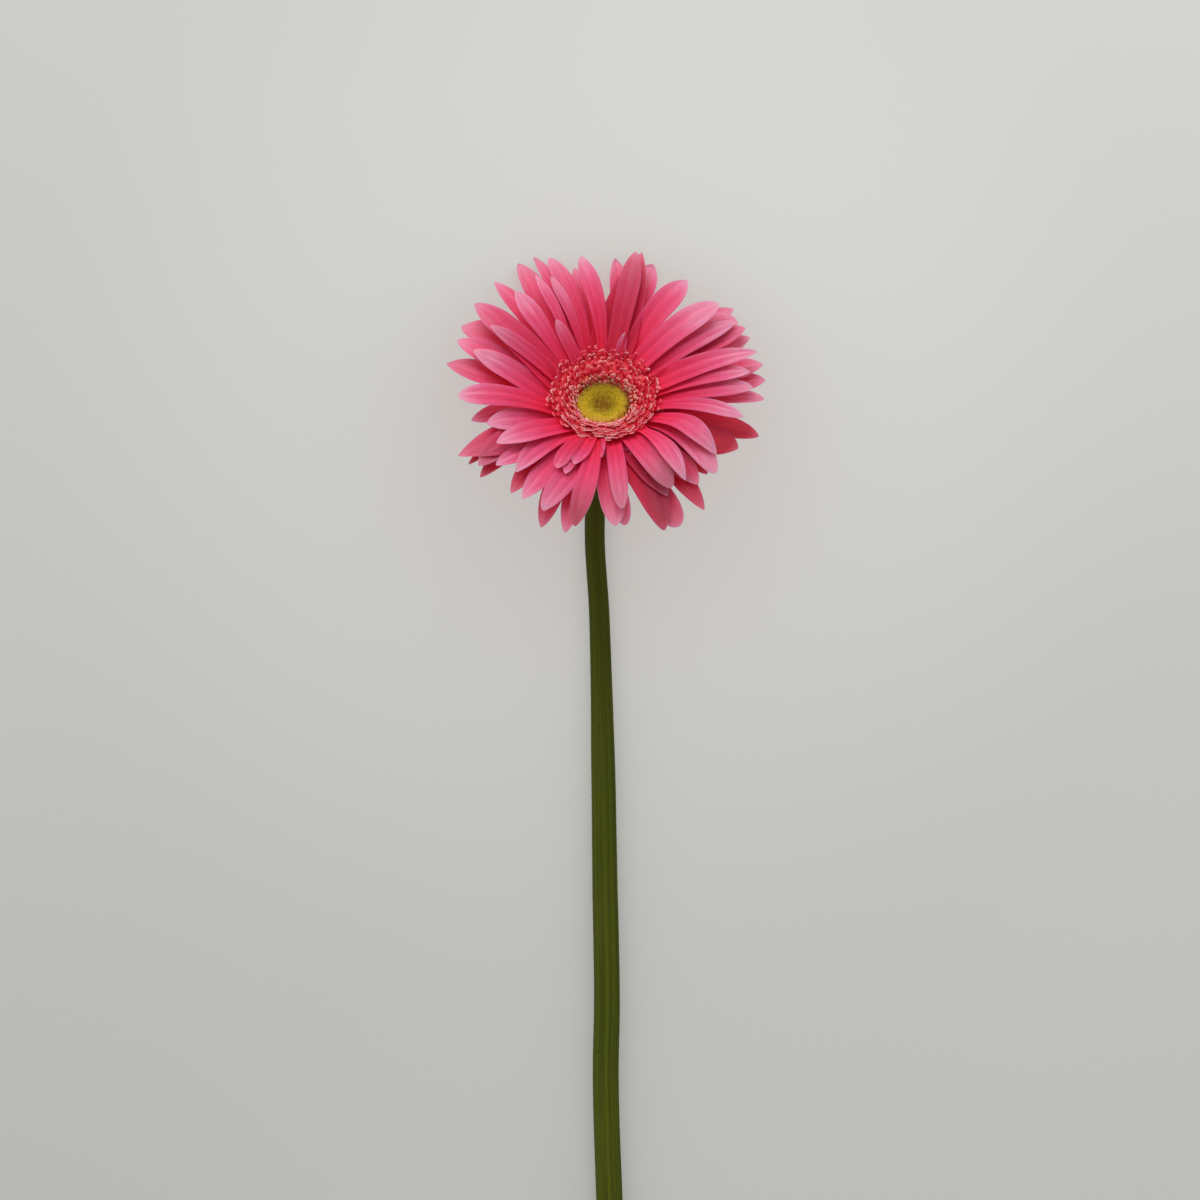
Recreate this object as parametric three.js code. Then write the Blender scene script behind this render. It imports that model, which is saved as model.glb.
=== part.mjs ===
// A cut gerbera lying on a table: the head is turned up, the neck is bent and the stem lies
// along the table. Millimetres, +Z up. The head is built about its own centre, where the back
// row of petals leaves it, and the finished flower is moved so that the origin is on the
// table, in the middle of its footprint.
import * as THREE from "three";
import { LoftGeometry } from "three/addons/geometries/LoftGeometry.js";

const degree = Math.PI / 180;

// The head
const headTilt = 38 * degree; // its axis from the vertical, towards +Y
const headHeight = 24; // its centre above the table
const gap = 0.3; // between pieces that touch
const turnedSides = 32; // flats round the cup and the bed of buds

// Petals stand in rows, from 0 at the back to 5 in front
const backRootRadius = 13.2;
const backRootHeight = -1;
const rowInset = 0.6; // each row stands nearer the middle
const rowLift = 0.6; // and higher than the one behind it
const rowRise = 1.6 * degree; // and its petals rise more steeply
const backRise = 9.3 * degree; // how steeply the back row rises at the head's sides
const uphillRise = 6.7 * degree; // more than that at the head's top, less at its bottom
const middleArch = 5.2; // how far petals bow up between root and tip
const uphillArch = 1.2; // less than that at the head's top, more at its bottom
const petalThickness = 0.45;
const petalSpan = 41; // root to tip, on the plan, of a long petal
const cupping = 0.07; // how far the edges stand up, as a share of the width
const crownReach = 0.22; // half the level middle of a petal's section, as a share of the width
const widthAlong = [
  // share of the length, share of the full width
  [0, 0.13],
  [0.1, 0.2],
  [0.25, 0.5],
  [0.42, 0.82],
  [0.6, 1],
  [0.78, 0.96],
  [0.92, 0.64],
  [1, 0.16],
];

// Disc: a crater of open florets round a bed of buds
const bedRadius = 8.96;
const budsRadius = 7.9;
const budsTop = [
  // radius, height: a low ring round a shallow dip
  [budsRadius, 4.6],
  [7.2, 5.2],
  [4, 5],
  [2.5, 4.7],
  [0, 4.5],
];
const floretSides = 40; // flats round the crater
const floretsTop = [
  // radius, height: from the tips down the crater's wall to the buds
  [17.8, 8.5],
  [17.8, 9.3],
  [14, 8.6],
  [10.4, 7.2],
  [budsRadius + gap, 4.8],
];

// Green cup and stem
const neckDepth = 12.2; // end of the cup, measured down the head's axis
const neckRadius = 3.3;
const cupSide = [
  // radius, height: from the neck up to the rim
  [neckRadius, -neckDepth],
  [4.4, -10.8],
  [8.2, -8],
  [11.6, -4.9],
];
const rimThickness = 1.2;
const cutEndRadius = 4.25;
const stemSides = 12;
const bendSteps = 8;

// The receptacle's upper face is a cone that every petal's root clears by the same gap. Radius
// and height have the same sum all over it.
const coneSum = backRootRadius + backRootHeight - petalThickness / 2 - gap * Math.SQRT2;
const bedHeight = coneSum - bedRadius;

// Each petal's tip as it is seen from straight above, from the head's centre; its row; its
// width; how many degrees its root stands round from its tip; how much more than usual it
// arches; and whether its tip rests on the table.
const petals = [
  { name: "back_1", tip: [3, 49], row: 0, width: 7, lean: 0, rests: true },
  { name: "back_2", tip: [46, 23.5], row: 0, width: 7.5, lean: 20 },
  { name: "back_3", tip: [50.5, 10], row: 0, width: 8, lean: 20 },
  { name: "back_4", tip: [48, -7.5], row: 0, width: 8, lean: 8, arch: -1 },
  { name: "back_5", tip: [22.5, -35], row: 0, width: 8, lean: 6 },
  { name: "back_6", tip: [6, -35], row: 0, width: 6.5, lean: 4 },
  { name: "back_7", tip: [-19.5, -36], row: 0, width: 7.5, lean: 0 },
  { name: "back_8", tip: [-38.5, -20], row: 0, width: 7.5, lean: 4 },
  { name: "back_9", tip: [-49.5, 15.5], row: 0, width: 8, lean: 4 },
  { name: "back_10", tip: [-27.5, 48], row: 0, width: 7.5, lean: 6, rests: true },
  { name: "back_11", tip: [-9.5, 45.5], row: 0, width: 6, lean: 14 },

  { name: "second_1", tip: [16, 47], row: 1, width: 7.5, lean: 20, rests: true },
  { name: "second_2", tip: [42, 29.5], row: 1, width: 7, lean: 20 },
  { name: "second_3", tip: [49.5, 16], row: 1, width: 7.5, lean: 20 },
  { name: "second_4", tip: [50.5, 4.5], row: 1, width: 7.5, lean: 20 },
  { name: "second_5", tip: [41.5, -11.5], row: 1, width: 7.5, lean: 14 },
  { name: "second_6", tip: [31.5, -30], row: 1, width: 7, lean: 8 },
  { name: "second_7", tip: [18.5, -36], row: 1, width: 8, lean: 6 },
  { name: "second_8", tip: [-12.5, -37], row: 1, width: 8, lean: -6 },
  { name: "second_9", tip: [-29, -25], row: 1, width: 7, lean: 0 },
  { name: "second_10", tip: [-46, -13], row: 1, width: 8, lean: 14 },
  { name: "second_11", tip: [-42, -2.5], row: 1, width: 7, lean: 14 },
  { name: "second_12", tip: [-45, 27], row: 1, width: 7.5, lean: 14 },
  { name: "second_13", tip: [-34.5, 41.5], row: 1, width: 7, lean: 14 },
  { name: "second_14", tip: [-22.5, 49.5], row: 1, width: 7, lean: 8, rests: true },

  { name: "third_1", tip: [29.5, -22.5], row: 2, width: 7, lean: 16 },
  { name: "third_2", tip: [3.5, -35.5], row: 2, width: 7, lean: 4 },
  { name: "third_3", tip: [-16.5, 49], row: 2, width: 9, lean: 4 },

  { name: "fourth_1", tip: [13, 49.5], row: 3, width: 8, lean: 20 },
  { name: "fourth_2", tip: [41.5, 27], row: 3, width: 7.5, lean: 20 },
  { name: "fourth_3", tip: [46.5, 8], row: 3, width: 7, lean: 20 },
  { name: "fourth_4", tip: [35.5, -18.5], row: 3, width: 8, lean: 20, arch: 1.5 },
  { name: "fourth_5", tip: [-26, -27], row: 3, width: 7.5, lean: 0 },
  { name: "fourth_6", tip: [-33.5, -16.5], row: 3, width: 7, lean: 0 },
  { name: "fourth_7", tip: [-36.5, -3.5], row: 3, width: 7, lean: 14 },
  { name: "fourth_8", tip: [-42, 19.5], row: 3, width: 8, lean: 14 },
  { name: "fourth_9", tip: [-16.5, 42.5], row: 3, width: 6.5, lean: 4 },

  { name: "fifth_1", tip: [26, 41.5], row: 4, width: 8, lean: 20 },
  { name: "fifth_2", tip: [45.5, 12.5], row: 4, width: 7.5, lean: 20 },
  { name: "fifth_3", tip: [34.5, -13], row: 4, width: 8.5, lean: 18, arch: 3.5 },
  { name: "fifth_4", tip: [21, -23.5], row: 4, width: 8, lean: 8, arch: 1 },
  { name: "fifth_5", tip: [5.5, -30], row: 4, width: 7.5, lean: 6 },
  { name: "fifth_6", tip: [-18, -30], row: 4, width: 7.5, lean: -6 },
  { name: "fifth_7", tip: [-27.5, -18.5], row: 4, width: 7.5, lean: 0 },
  { name: "fifth_8", tip: [-41.5, 34.5], row: 4, width: 9, lean: 14 },
  { name: "fifth_9", tip: [-21.5, 43], row: 4, width: 6.5, lean: 14 },

  { name: "front_1", tip: [10.5, 51], row: 5, width: 8.5, lean: 10 },
  { name: "front_2", tip: [36.5, 35], row: 5, width: 8.5, lean: 24 },
  { name: "front_3", tip: [48, 19], row: 5, width: 8.5, lean: 20 },
  { name: "front_4", tip: [43.5, -2], row: 5, width: 7.5, lean: 12, arch: 0.5 },
  { name: "front_5", tip: [25, -22], row: 5, width: 8, lean: 16, arch: 2.5 },
  { name: "front_6", tip: [-9, -35.5], row: 5, width: 8, lean: -12 },
  { name: "front_7", tip: [-33.5, -9.5], row: 5, width: 8, lean: 4 },
  { name: "front_8", tip: [-46, 5], row: 5, width: 8.5, lean: 14 },
  { name: "front_9", tip: [-28.5, 37.5], row: 5, width: 8, lean: 4 },
  { name: "front_10", tip: [-6.5, 49.5], row: 5, width: 8.5, lean: 0 },
];

// The stem's middle line past the neck's bend: along the table, from the head's centre
const stemWander = [
  // x, y, radius
  [-2.8, -43, 3.15],
  [-1.5, -62, 3.2],
  [-0.8, -85, 3.4],
  [-0.2, -112, 3.8],
  [0.4, -150, 4],
  [1, -185, 4.1],
  [0.6, -210, 4.1],
  [1.6, -245, 4.15],
  [3.4, -290, 4.2],
  [3.8, -344, cutEndRadius],
];

const petalFinish = new THREE.MeshStandardMaterial({ color: 0xc93a64, roughness: 0.62 });
const floretFinish = new THREE.MeshStandardMaterial({ color: 0xe49aa0, roughness: 0.6 });
const budFinish = new THREE.MeshStandardMaterial({ color: 0xa9973a, roughness: 0.7 });
const greenFinish = new THREE.MeshStandardMaterial({ color: 0x4a5217, roughness: 0.7 });

// Height of a row's petals at a place on the head's plan. They rise most steeply at the top
// of the head, least at the bottom, and every row arches outwards.
function rowHeight(row, x, y) {
  const azimuth = Math.atan2(y, x);
  const out = Math.hypot(x, y) - (backRootRadius - row * rowInset);
  const share = out / petalSpan;
  const rise = backRise + uphillRise * Math.sin(azimuth) + row * rowRise;
  const arch = middleArch - uphillArch * Math.sin(azimuth);
  return backRootHeight + row * rowLift + out * Math.tan(rise) + 4 * arch * share * (1 - share);
}

// Where a petal's tip is in the head's frame, found from where it is seen from above. A tip
// that rests on the table has a known height; any other lies at its row's height.
function tipOf(petal) {
  const [x, seen] = petal.tip;
  if (petal.rests) {
    const z = petalThickness / 2 - headHeight;
    return new THREE.Vector3(
      x,
      seen * Math.cos(headTilt) - z * Math.sin(headTilt),
      seen * Math.sin(headTilt) + z * Math.cos(headTilt),
    );
  }
  const tip = new THREE.Vector3(x, seen, 0);
  const rounds = 30; // far more than its height takes to stop changing
  for (let round = 0; round < rounds; round++) {
    tip.y = (seen - tip.z * Math.sin(headTilt)) / Math.cos(headTilt);
    tip.z = rowHeight(petal.row, x, tip.y);
  }
  return tip;
}

// One section of a petal: a thin six-sided ring, anticlockwise as seen from the tip.
function petalRing(centre, along, width) {
  const side = new THREE.Vector3(0, 0, 1).cross(along).normalize();
  const up = along.clone().cross(side);
  const edge = cupping * width;
  const crown = crownReach * width;
  const outline = [
    [width / 2, edge],
    [crown, petalThickness / 2],
    [-crown, petalThickness / 2],
    [-width / 2, edge],
    [-crown, -petalThickness / 2],
    [crown, -petalThickness / 2],
  ];
  return outline.map(([across, rise]) =>
    centre.clone().addScaledVector(side, across).addScaledVector(up, rise),
  );
}

function petalMesh(petal) {
  const { row, lean, width } = petal;
  const tip = tipOf(petal);
  const rootRadius = backRootRadius - row * rowInset;
  const rootAzimuth = Math.atan2(tip.y, tip.x) + lean * degree;
  const root = new THREE.Vector3(
    rootRadius * Math.cos(rootAzimuth),
    rootRadius * Math.sin(rootAzimuth),
    0,
  );
  const tipDrop = tip.z - rowHeight(row, tip.x, tip.y);
  const archScale = (petal.arch ?? 0) / (4 / 27); // share² (1 - share) is 4/27 at its highest
  const pointAt = (share) => {
    const point = root.clone().lerp(tip, share);
    point.z = rowHeight(row, point.x, point.y) + tipDrop * share ** 2;
    point.z += archScale * share ** 2 * (1 - share);
    return point;
  };
  const step = 0.01;
  const rings = widthAlong.map(([share, widthShare]) => {
    const along = pointAt(share + step).sub(pointAt(share - step)).normalize();
    return petalRing(pointAt(share), along, widthShare * width);
  });
  const geometry = new LoftGeometry(rings, { capStart: true, capEnd: true });
  const mesh = new THREE.Mesh(geometry, petalFinish);
  mesh.name = "petal_" + petal.name;
  return mesh;
}

// A turned shape about the head's axis, from points [radius, height].
function turned(name, profile, finish, sides) {
  const points = profile.map(([radius, height]) => new THREE.Vector2(radius, height));
  const geometry = new THREE.LatheGeometry(points, sides);
  geometry.rotateX(Math.PI / 2);
  const mesh = new THREE.Mesh(geometry, finish);
  mesh.name = name;
  return mesh;
}

// The green cup of bracts with the receptacle grown into it.
function receptacle() {
  const rimHeight = coneSum - backRootRadius;
  const profile = [
    [0, -neckDepth],
    ...cupSide,
    [backRootRadius, rimHeight - rimThickness],
    [backRootRadius, rimHeight],
    [bedRadius, bedHeight],
    [0, bedHeight],
  ];
  return turned("receptacle_and_bracts", profile, greenFinish, turnedSides);
}

function discBuds() {
  const bottom = bedHeight + gap;
  const profile = [[0, bottom], [budsRadius, bottom], ...budsTop];
  return turned("disc_buds", profile, budFinish, turnedSides);
}

function discFlorets() {
  const bottom = bedHeight + gap;
  const inner = budsRadius + gap;
  const profile = [[inner, bottom], [bedRadius, bottom], ...floretsTop, [inner, bottom]];
  return turned("disc_florets", profile, floretFinish, floretSides);
}

// The stem leaves the cup down the head's axis, bends until it is level, and lies on the
// table from there on.
function stem() {
  const [bentX, , bentRadius] = stemWander[0];
  const start = neckDepth + 2 * gap;
  const startY = -start * Math.sin(headTilt);
  const startZ = -start * Math.cos(headTilt);
  const flatShare = Math.cos(Math.PI / stemSides); // middle to the flat underside, over the radius
  const restZ = bentRadius * flatShare - headHeight;
  const turn = Math.PI / 2 - headTilt;
  const bendRadius = (startZ - restZ) / (1 - Math.cos(turn));
  const stations = [];
  for (let step = 0; step <= bendSteps; step++) {
    const share = step / bendSteps;
    const left = turn * (1 - share);
    stations.push([
      bentX * share ** 1.5,
      startY - bendRadius * (Math.sin(turn) - Math.sin(left)),
      restZ + bendRadius * (1 - Math.cos(left)),
      neckRadius + (bentRadius - neckRadius) * share,
    ]);
  }
  for (const [x, y, radius] of stemWander) {
    stations.push([x, y, radius * flatShare - headHeight, radius]);
  }

  const line = new THREE.CatmullRomCurve3(
    stations.map(([x, y, z]) => new THREE.Vector3(x, y, z)),
  );
  const rings = stations.map(([x, y, z, radius], index) => {
    const along = line.getTangent(index / (stations.length - 1));
    const side = new THREE.Vector3(1, 0, 0);
    side.addScaledVector(along, -side.dot(along)).normalize();
    const up = along.clone().cross(side);
    const ring = [];
    for (let corner = 0; corner < stemSides; corner++) {
      const angle = ((corner + 0.5) / stemSides) * 2 * Math.PI;
      const point = new THREE.Vector3(x, y, z);
      point.addScaledVector(side, -radius * Math.sin(angle));
      point.addScaledVector(up, radius * Math.cos(angle));
      ring.push(point);
    }
    return ring;
  });
  const geometry = new LoftGeometry(rings, { capStart: true, capEnd: true });
  const mesh = new THREE.Mesh(geometry, greenFinish);
  mesh.name = "stem";
  return mesh;
}

const head = new THREE.Group();
head.rotation.x = -headTilt;
head.add(receptacle(), discBuds(), discFlorets());
for (const petal of petals) head.add(petalMesh(petal));

const flower = new THREE.Group();
flower.add(head, stem());

const gerbera = new THREE.Group();
gerbera.add(flower);
gerbera.updateMatrixWorld(true);
const box = new THREE.Box3().setFromObject(flower, true);
const middle = box.getCenter(new THREE.Vector3());
flower.position.set(-middle.x, -middle.y, -box.min.z);

export default gerbera;
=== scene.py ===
import math

import bpy
import numpy as np
from mathutils import Matrix, Vector


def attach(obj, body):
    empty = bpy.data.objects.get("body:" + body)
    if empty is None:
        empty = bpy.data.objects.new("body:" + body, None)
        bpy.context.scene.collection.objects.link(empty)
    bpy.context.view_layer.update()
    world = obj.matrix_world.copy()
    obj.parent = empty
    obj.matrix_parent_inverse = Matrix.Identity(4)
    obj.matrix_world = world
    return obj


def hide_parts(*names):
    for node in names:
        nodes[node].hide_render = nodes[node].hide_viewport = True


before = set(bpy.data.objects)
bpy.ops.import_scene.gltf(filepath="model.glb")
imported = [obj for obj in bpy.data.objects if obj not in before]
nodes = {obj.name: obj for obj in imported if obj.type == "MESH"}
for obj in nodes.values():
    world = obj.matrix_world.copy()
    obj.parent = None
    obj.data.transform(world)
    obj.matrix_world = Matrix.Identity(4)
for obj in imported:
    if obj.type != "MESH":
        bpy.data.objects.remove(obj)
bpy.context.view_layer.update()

mm = 0.001
goldenTurn = 2.3999632  # radians from each bud or floret to the next
print("frame loaded:", len(nodes), "nodes")


class Wire:
    # one output of a node, which can stand in a sum
    def __init__(self, graph, socket):
        self.graph, self.socket = graph, socket

    def combined(self, operation, other=None, swapped=False):
        pair = [other, self] if swapped else [self, other]
        isVector = any(isinstance(end, Wire) and end.socket.type == "VECTOR" for end in pair)
        kind = "ShaderNodeVectorMath" if isVector else "ShaderNodeMath"
        given = {place: end for place, end in enumerate(pair) if end is not None}
        return self.graph.node(kind, {"operation": operation}, given)[0]

    def __add__(self, other):
        return self.combined("ADD", other)

    def __radd__(self, other):
        return self.combined("ADD", other, True)

    def __sub__(self, other):
        return self.combined("SUBTRACT", other)

    def __rsub__(self, other):
        return self.combined("SUBTRACT", other, True)

    def __mul__(self, other):
        return self.combined("MULTIPLY", other)

    def __rmul__(self, other):
        return self.combined("MULTIPLY", other, True)

    def __truediv__(self, other):
        return self.combined("DIVIDE", other)

    def __rtruediv__(self, other):
        return self.combined("DIVIDE", other, True)

    def __pow__(self, other):
        return self.combined("POWER", other)

    def __neg__(self):
        return self.combined("MULTIPLY", -1.0)

    def sine(self):
        return self.combined("SINE")

    def cosine(self):
        return self.combined("COSINE")

    def root(self):
        return self.combined("SQRT")

    def absolute(self):
        return self.combined("ABSOLUTE")

    def atLeast(self, low):
        return self.combined("MAXIMUM", low)

    def atMost(self, high):
        return self.combined("MINIMUM", high)

    def between(self, low, high):
        # 0 under low, 1 over high, and smooth between
        settings = {"interpolation_type": "SMOOTHSTEP"}
        given = {"Value": self, "From Min": low, "From Max": high}
        return self.graph.node("ShaderNodeMapRange", settings, given)["Result"]

    def split(self):
        parts = self.graph.node("ShaderNodeSeparateXYZ", {}, {0: self})
        return parts[0], parts[1], parts[2]


class Made:
    # a node just added: its outputs are picked by name or by place
    def __init__(self, graph, node):
        self.graph, self.node = graph, node

    def __getitem__(self, key):
        return Wire(self.graph, self.graph.pick(self.node.outputs, key))


def linear(screenColour):
    # a screen colour, 0 to 255, as the numbers that shaders take
    shares = [value / 255 for value in screenColour]
    return (*[s / 12.92 if s <= 0.04045 else ((s + 0.055) / 1.055) ** 2.4 for s in shares], 1)


class Graph:
    def __init__(self, tree):
        self.tree = tree

    def pick(self, sockets, key):
        if isinstance(key, int):
            return sockets[key]
        return next(socket for socket in sockets if socket.enabled and socket.name == key)

    def node(self, kind, settings, given):
        made = self.tree.nodes.new(kind)
        for name, value in settings.items():
            if name == "stops":
                self.setStops(made.color_ramp, value)
            elif name == "curve":
                self.setCurve(made.mapping, value)
            else:
                setattr(made, name, value)
        for key, value in given.items():
            self.feed(self.pick(made.inputs, key), value)
        return Made(self, made)

    def feed(self, socket, value):
        if isinstance(value, Wire):
            self.tree.links.new(value.socket, socket)
        elif socket.type == "VECTOR" and isinstance(value, (int, float)):
            socket.default_value = (value,) * 3
        elif socket.type == "RGBA":
            socket.default_value = linear(value)
        else:
            socket.default_value = value

    def setStops(self, ramp, stops):
        while len(ramp.elements) < len(stops):
            ramp.elements.new(0.5)
        for element, (place, screenColour) in zip(ramp.elements, stops):
            element.position, element.color = place, linear(screenColour)

    def setCurve(self, mapping, points):
        line = mapping.curves[0]
        while len(line.points) < len(points):
            line.points.new(0.5, 0.5)
        for point, place in zip(line.points, points):
            point.location = place
        mapping.update()

    def vector(self, x, y, z):
        return self.node("ShaderNodeCombineXYZ", {}, {0: x, 1: y, 2: z})[0]

    def noise(self, place, scale, detail=2.0, roughness=0.5):
        given = {"Vector": place, "Scale": scale, "Detail": detail, "Roughness": roughness}
        return self.node("ShaderNodeTexNoise", {}, given)["Fac"]

    def curve(self, value, points):
        return self.node("ShaderNodeFloatCurve", {"curve": points}, {"Value": value})[0]


class Skin(Graph):
    # a material: settings go to the shader's own sockets, and cover feeds what changes over the surface
    def __init__(self, name, settings):
        self.material = bpy.data.materials.new(name)
        self.material.use_nodes = True
        super().__init__(self.material.node_tree)
        self.shader = next(n for n in self.tree.nodes if n.type == "BSDF_PRINCIPLED")
        for label, value in settings.items():
            self.feed(self.pick(self.shader.inputs, label), value)

    def field(self, name, output="Fac"):
        return self.node("ShaderNodeAttribute", {"attribute_name": name}, {})[output]

    def place(self):
        return self.node("ShaderNodeTexCoord", {}, {})["Object"]

    def ramp(self, value, stops):
        return self.node("ShaderNodeValToRGB", {"stops": stops}, {"Fac": value})["Color"]

    def blend(self, share, low, high):
        given = {"Factor": share, "A": low, "B": high}
        return self.node("ShaderNodeMix", {"data_type": "RGBA"}, given)["Result"]

    def cover(self, baseColour, roughness=None, height=None, depth=0.0, glow=None):
        fed = {"Base Color": baseColour, "Roughness": roughness, "Emission Color": glow}
        if height is not None:
            bump = self.node("ShaderNodeBump", {}, {"Strength": 1.0, "Distance": depth, "Height": height})
            fed["Normal"] = bump["Normal"]
        for label, value in fed.items():
            if value is not None:
                self.feed(self.shader.inputs[label], value)
        return self.material


class Growth(Graph):
    # a geometry tree with named inputs: it runs once on a start mesh, and its result is kept as plain mesh
    def __init__(self, name, sizes, keys):
        super().__init__(bpy.data.node_groups.new(name, "GeometryNodeTree"))
        face = self.tree.interface
        face.new_socket("Geometry", in_out="OUTPUT", socket_type="NodeSocketGeometry")
        face.new_socket("Geometry", in_out="INPUT", socket_type="NodeSocketGeometry")
        self.inputs = {}
        for key in keys.split():
            kind = "NodeSocketInt" if isinstance(sizes[key], int) else "NodeSocketFloat"
            socket = face.new_socket(key, in_out="INPUT", socket_type=kind)
            self.inputs[socket.identifier] = sizes[key]
        self.entry = self.node("NodeGroupInput", {}, {})

    def size(self, key):
        return self.entry[key]

    def index(self):
        return self.node("GeometryNodeInputIndex", {}, {})[0]

    def position(self):
        return self.node("GeometryNodeInputPosition", {}, {})[0]

    def field(self, name, kind="FLOAT"):
        return self.node("GeometryNodeInputNamedAttribute", {"data_type": kind}, {"Name": name})["Attribute"]

    def store(self, geometry, name, value, kind="FLOAT"):
        settings = {"data_type": kind, "domain": "POINT"}
        given = {"Geometry": geometry, "Name": name, "Value": value}
        return self.node("GeometryNodeStoreNamedAttribute", settings, given)["Geometry"]

    def chance(self, low, high, seed):
        given = {"Min": low, "Max": high, "Seed": self.size("seed") + seed}
        return self.node("FunctionNodeRandomValue", {"data_type": "FLOAT"}, given)["Value"]

    def lines(self):
        return self.node("GeometryNodeMeshToCurve", {}, {"Mesh": self.entry["Geometry"]})["Curve"]

    def sweep(self, lines, sides, thick=None):
        # a closed tube along the lines, which keeps each point's place in its section
        given = {"Resolution": sides, "Radius": 1.0}
        ring = self.node("GeometryNodeCurvePrimitiveCircle", {}, given)["Curve"]
        ring = self.store(ring, "section", self.position(), "FLOAT_VECTOR")
        given = {"Curve": lines, "Profile Curve": ring, "Fill Caps": True}
        if thick is not None:
            given["Scale"] = thick
        return self.node("GeometryNodeCurveToMesh", {}, given)["Mesh"]

    def dots(self, places, stored):
        given = {"Count": self.size("count"), "Position": places}
        made = self.node("GeometryNodePoints", {}, given)["Points"]
        for name, value in stored.items():
            made = self.store(made, name, value)
        return made

    def spike(self, sides):
        return self.node("GeometryNodeMeshCone", {}, {
            "Vertices": sides, "Radius Top": 0.0,
            "Radius Bottom": self.size("width"), "Depth": self.size("length"),
        })["Mesh"]

    def facing(self, direction):
        settings = {"axis": "Z"}
        return self.node("FunctionNodeAlignRotationToVector", settings, {"Vector": direction})["Rotation"]

    def isOver(self, value, low):
        settings = {"data_type": "FLOAT", "operation": "GREATER_THAN"}
        return self.node("FunctionNodeCompare", settings, {"A": value, "B": low})["Result"]

    def plant(self, points, shape, rotation, scale, chosen=True):
        return self.node("GeometryNodeInstanceOnPoints", {}, {
            "Points": points, "Instance": shape, "Rotation": rotation, "Scale": scale, "Selection": chosen,
        })["Instances"]

    def finish(self, geometry, material):
        real = self.node("GeometryNodeRealizeInstances", {}, {"Geometry": geometry})["Geometry"]
        smooth = self.node("GeometryNodeSetShadeSmooth", {}, {"Geometry": real})["Geometry"]
        painted = self.node("GeometryNodeSetMaterial", {}, {"Geometry": smooth, "Material": material})
        self.node("NodeGroupOutput", {}, {"Geometry": painted["Geometry"]})

    def grow(self, name, startMesh, place=None):
        # the result becomes a plain object at the origin
        seedling = addObject(name + "Seedling", startMesh)
        modifier = seedling.modifiers.new("growth", "NODES")
        modifier.node_group = self.tree
        for identifier, value in self.inputs.items():
            modifier[identifier] = value
        evaluated = seedling.evaluated_get(bpy.context.evaluated_depsgraph_get())
        mesh = bpy.data.meshes.new_from_object(evaluated)
        seedling.modifiers.remove(modifier)
        bpy.data.objects.remove(seedling)
        if place is not None:
            mesh.transform(place)
        for helper in ("centre", "side", "up", "reach", "section", "blunt", "cupped", "hook", "thick"):
            if helper in mesh.attributes:
                mesh.attributes.remove(mesh.attributes[helper])
        mesh.name = name
        return addObject(name, mesh)


def addObject(name, data):
    made = bpy.data.objects.new(name, data)
    bpy.context.scene.collection.objects.link(made)
    return made


def lineMesh(name, runs, fields):
    # open lines through the runs of points; each field has a number or a vector for each point
    edges, first = [], 0
    for run in runs:
        edges += [(first + i, first + i + 1) for i in range(len(run) - 1)]
        first += len(run)
    mesh = bpy.data.meshes.new(name)
    mesh.from_pydata(np.concatenate(runs).tolist(), edges, [])
    for field, values in fields.items():
        values = np.concatenate(values)
        isVector = values.ndim == 2
        layer = mesh.attributes.new(field, "FLOAT_VECTOR" if isVector else "FLOAT", "POINT")
        layer.data.foreach_set("vector" if isVector else "value", values.astype(np.float32).ravel())
    return mesh


def bladeLines(name, blades):
    # one line for each blade, which is a dictionary of its fields
    fields = {key: [blade[key] for blade in blades] for key in blades[0]}
    return lineMesh(name, fields["centre"], fields)


def settle(piece, replaced=()):
    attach(piece, "root")
    if replaced:
        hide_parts(*replaced)
    return piece


head = {  # its axis leans back, and its centre comes from the bed of buds
    "tilt": math.radians(38),
    "bedHeight": 2.89 * mm,  # underside of the buds, over the head's centre
}


def uniquePoints(name):
    # a node's corners, each once, and which of them every vertex is
    mesh = nodes[name].data
    flat = np.empty(len(mesh.vertices) * 3)
    mesh.vertices.foreach_get("co", flat)
    points, places = np.unique(np.round(flat.reshape(-1, 3), 7), axis=0, return_inverse=True)
    return points, places.ravel()


axis = np.array([0, math.sin(head["tilt"]), math.cos(head["tilt"])])
uphill = np.array([0, math.cos(head["tilt"]), -math.sin(head["tilt"])])
sideways = np.array([1.0, 0, 0])
budPoints, _ = uniquePoints("disc_buds")
spans = [budPoints @ direction for direction in (sideways, uphill, axis)]
headCentre = (
    sideways * (spans[0].min() + spans[0].max()) / 2
    + uphill * (spans[1].min() + spans[1].max()) / 2
    + axis * (spans[2].min() - head["bedHeight"])
)
headPlace = Matrix.Translation(Vector(headCentre)) @ Matrix.Rotation(-head["tilt"], 4, "X")
print("head centre, mm:", [round(float(v) / mm, 2) for v in headCentre])

view = {
    "distance": 2.4,  # from the head's centre
    "frameWidth": 0.378,  # what the camera spans at that distance
    "aimFromHead": (-1.26 * mm, -58.9 * mm),
    "sensor": 36.0,
    "clip": (0.05, 40.0),
}
camera = addObject("camera", bpy.data.cameras.new("camera"))
camera.data.sensor_width = view["sensor"]
camera.data.lens = view["sensor"] * view["distance"] / view["frameWidth"]
camera.data.clip_start, camera.data.clip_end = view["clip"]
camera.location = (
    headCentre[0] + view["aimFromHead"][0],
    headCentre[1] + view["aimFromHead"][1],
    headCentre[2] + view["distance"],
)
bpy.context.scene.camera = camera

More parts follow.
